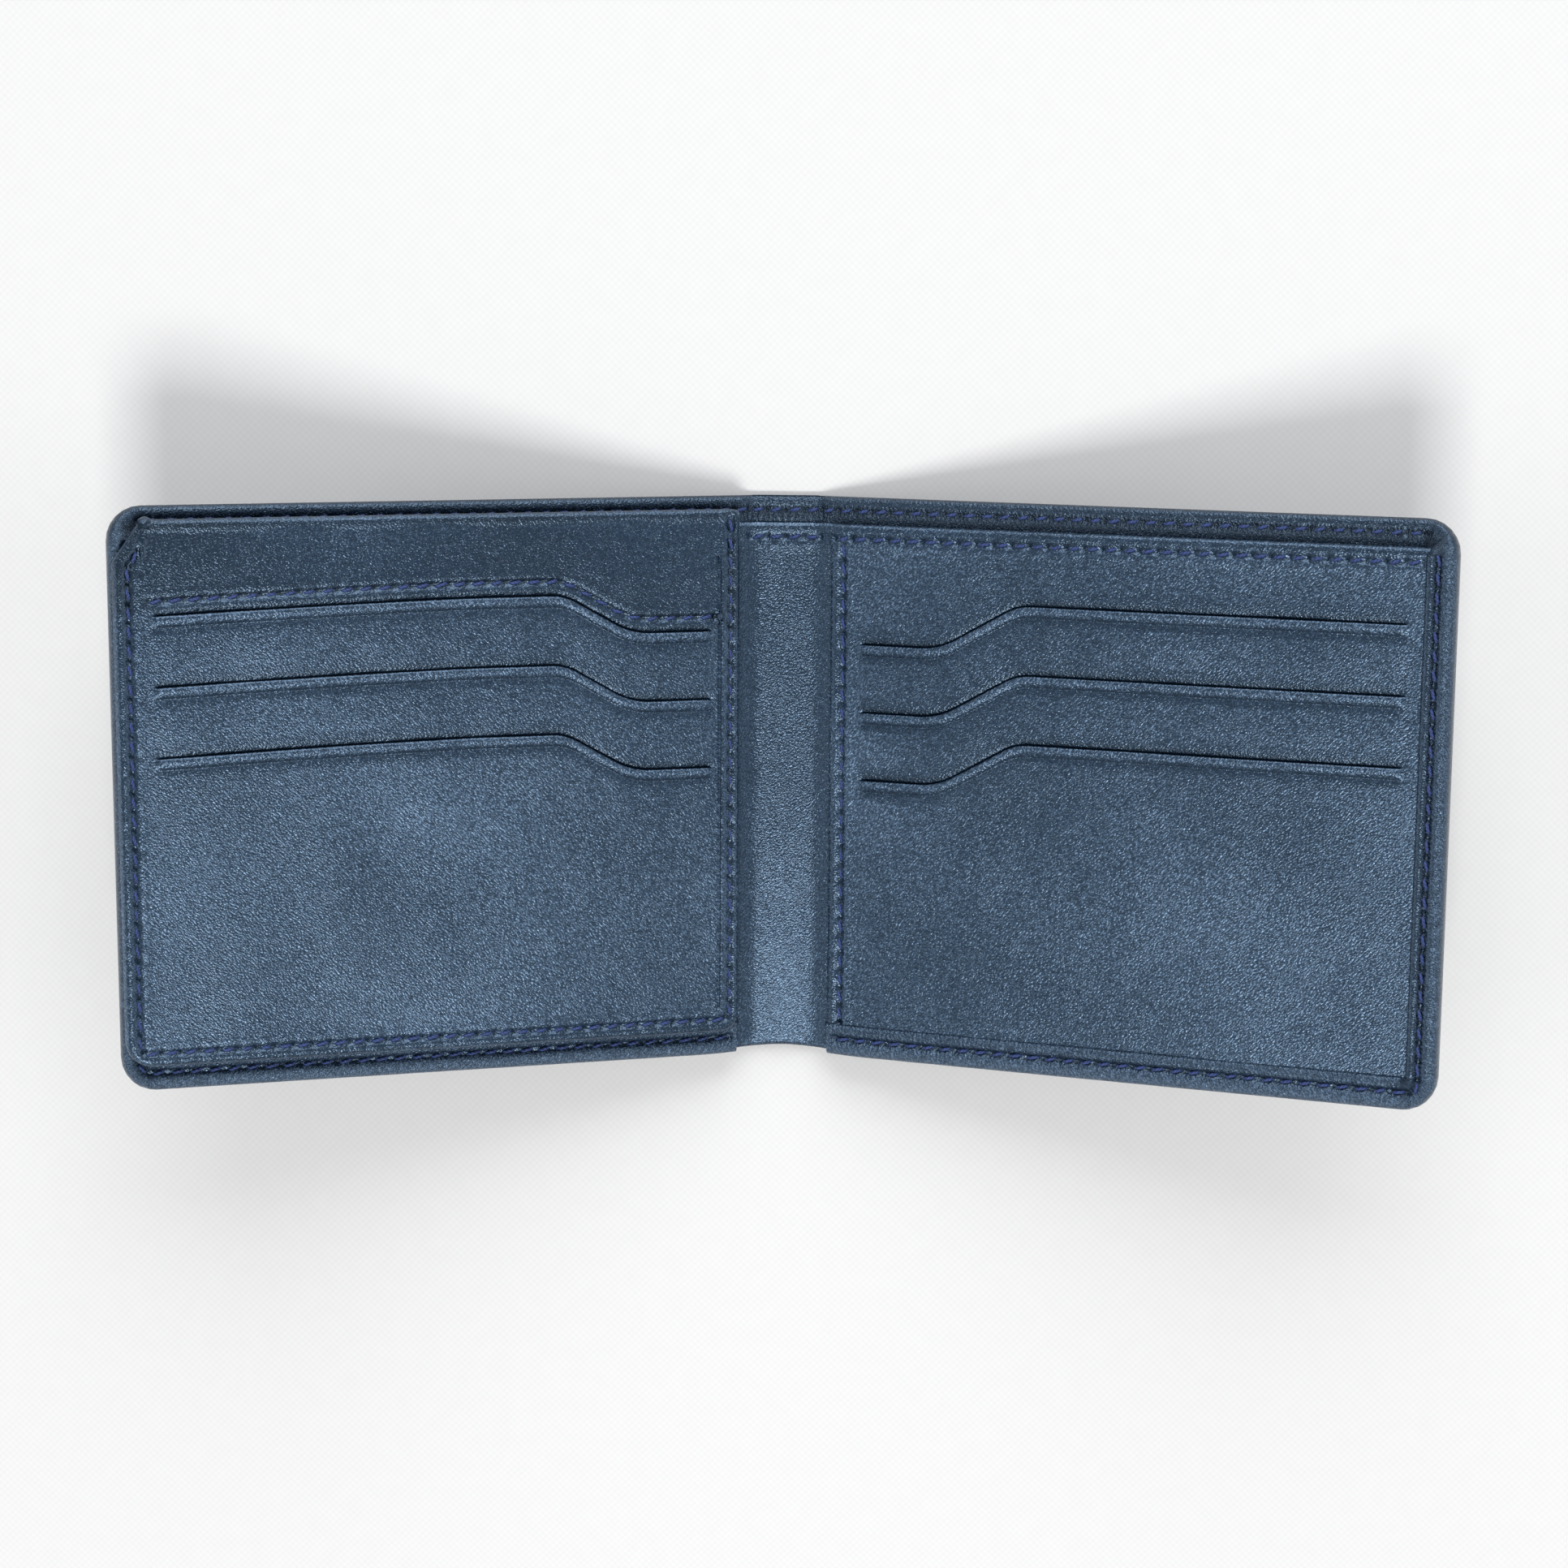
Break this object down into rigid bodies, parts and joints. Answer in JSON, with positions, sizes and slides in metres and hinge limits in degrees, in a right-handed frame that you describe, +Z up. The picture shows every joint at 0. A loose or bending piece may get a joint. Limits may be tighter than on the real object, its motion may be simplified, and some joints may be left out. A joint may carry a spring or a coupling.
{
  "type": "trifold wallet",
  "caption": "Slim leather wallet with folding halves on a narrow spine, a flip-up card flap, stepped card slots and a bill compartment.",
  "frame": {"origin": "on the floor under the middle of the spine, at the bottom centre of the bounding box", "axes": "+X across the open wallet to the half without the flap, +Y along the creases to the wallet's top edge, +Z up from the spine's outer face"},
  "size_m": [0.2116, 0.094, 0.0377],
  "materials": {
    "cover_leather": "pebbled navy leather, soft sheen",
    "inner_leather": "smooth fine-grained navy leather, soft sheen",
    "lining_fabric": "dark woven lining",
    "stiffener_board": "bonded leather board, raw",
    "clear_film": "clear vinyl window",
    "thread": "blue bonded thread"
  },
  "bodies": {
    "spine": {"cover_lining_spine": "lining_fabric", "cover_spine": "cover_leather", "cover_top_edge_spine": "cover_leather", "liner_spine": "inner_leather", "thread_cover_top_spine": "thread", "thread_liner_top_spine": "thread"},
    "left_half": {"card_facing_left": "inner_leather", "cover_left": "cover_leather", "cover_lining_left": "lining_fabric", "cover_top_edge_left": "cover_leather", "edge_wall_bottom_left": "cover_leather", "edge_wall_side_left": "cover_leather", "hinge_strip_left": "inner_leather", "liner_left": "inner_leather", "pocket_lining_1_left": "lining_fabric", "pocket_lining_2_left": "lining_fabric", "pocket_lining_3_left": "lining_fabric", "stiffener_left": "stiffener_board", "thread_border_left": "thread", "thread_cover_top_left": "thread", "thread_panel_side_left": "thread", "thread_panel_top_left": "thread", "turned_edge_bottom_left": "cover_leather", "turned_edge_side_left": "cover_leather"},
    "right_half": {"card_facing_right": "inner_leather", "cover_lining_right": "lining_fabric", "cover_right": "cover_leather", "cover_top_edge_right": "cover_leather", "edge_wall_bottom_right": "cover_leather", "edge_wall_side_right": "cover_leather", "liner_right": "inner_leather", "pocket_lining_1_right": "lining_fabric", "pocket_lining_2_right": "lining_fabric", "pocket_lining_3_right": "lining_fabric", "stiffener_right": "stiffener_board", "thread_border_right": "thread", "thread_cover_top_right": "thread", "thread_panel_side_right": "thread", "thread_panel_top_right": "thread", "turned_edge_bottom_right": "cover_leather", "turned_edge_side_right": "cover_leather"},
    "flap": {"flap_back_frame": "inner_leather", "flap_facing": "inner_leather", "flap_pocket_lining_1": "lining_fabric", "flap_pocket_lining_2": "lining_fabric", "flap_pocket_lining_3": "lining_fabric", "hinge_strip_flap": "inner_leather", "id_window_film": "clear_film", "thread_flap_edge": "thread", "thread_flap_wave": "thread"}
  },
  "joints": [
    {"name": "left_fold", "type": "hinge", "parent": "spine", "child": "left_half", "pos_m": [-0.00625, 0, 0.0005], "axis": [0, 1, 0], "range_deg": [-17.5, 72.5]},
    {"name": "right_fold", "type": "hinge", "parent": "spine", "child": "right_half", "pos_m": [0.00625, 0, 0.0005], "axis": [0, -1, 0], "range_deg": [-17.5, 72.5]},
    {"name": "flap_hinge", "type": "hinge", "parent": "left_half", "child": "flap", "pos_m": [-0.05577, 0.0442, 0.02068], "axis": [-0.9537, 0, 0.3007], "range_deg": [0, 180]}
  ]
}
